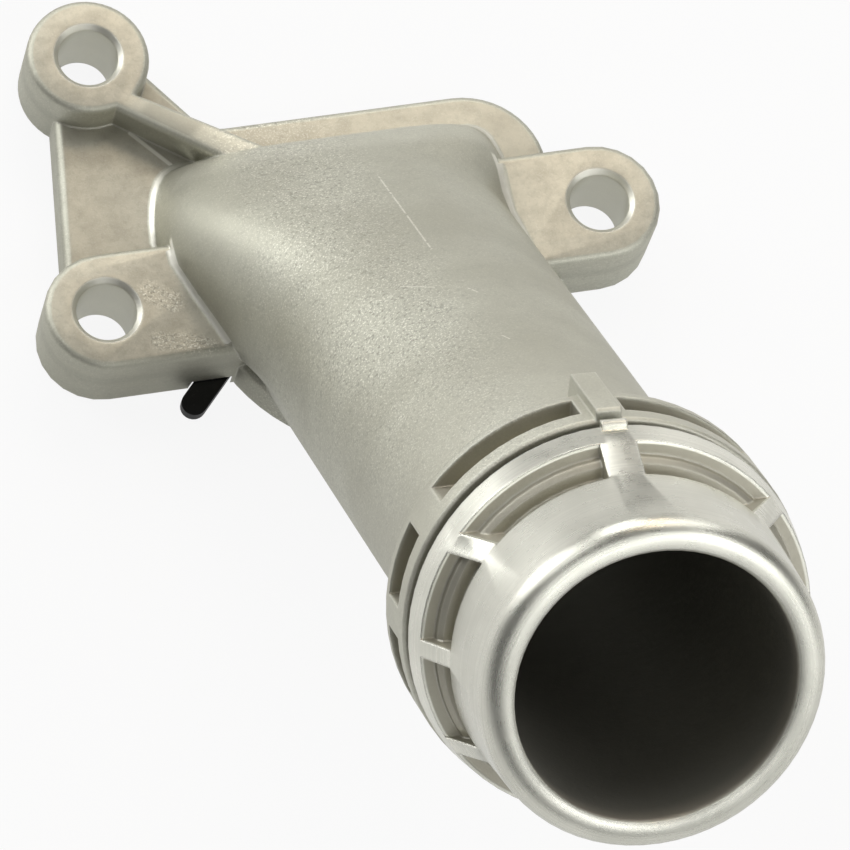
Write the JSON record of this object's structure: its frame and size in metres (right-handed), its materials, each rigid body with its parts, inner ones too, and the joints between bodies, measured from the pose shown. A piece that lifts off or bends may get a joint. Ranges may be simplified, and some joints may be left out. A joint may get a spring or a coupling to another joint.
{
  "type": "coolant pipe",
  "caption": "Cast aluminium coolant pipe with an oblique bolted flange, a sealed port in its back face and a push-on spigot with slotted collars.",
  "frame": {"origin": "centre of the port on the flange's mating face, at z = 0", "axes": "+Z along the bolts, away from the engine; the pipe leans 45 degrees from +Z towards -Y; +X is to the right seen from the spigot with the round boss at the far left"},
  "size_m": [0.0744, 0.1329, 0.0973],
  "materials": {
    "cast_aluminium": "as-cast grain with a machined, satin spigot and machined bolt seats",
    "black_rubber": "moulded, low sheen"
  },
  "bodies": {
    "root": {"pipe_casting": "cast_aluminium", "flange_gasket": "black_rubber"}
  },
  "joints": []
}
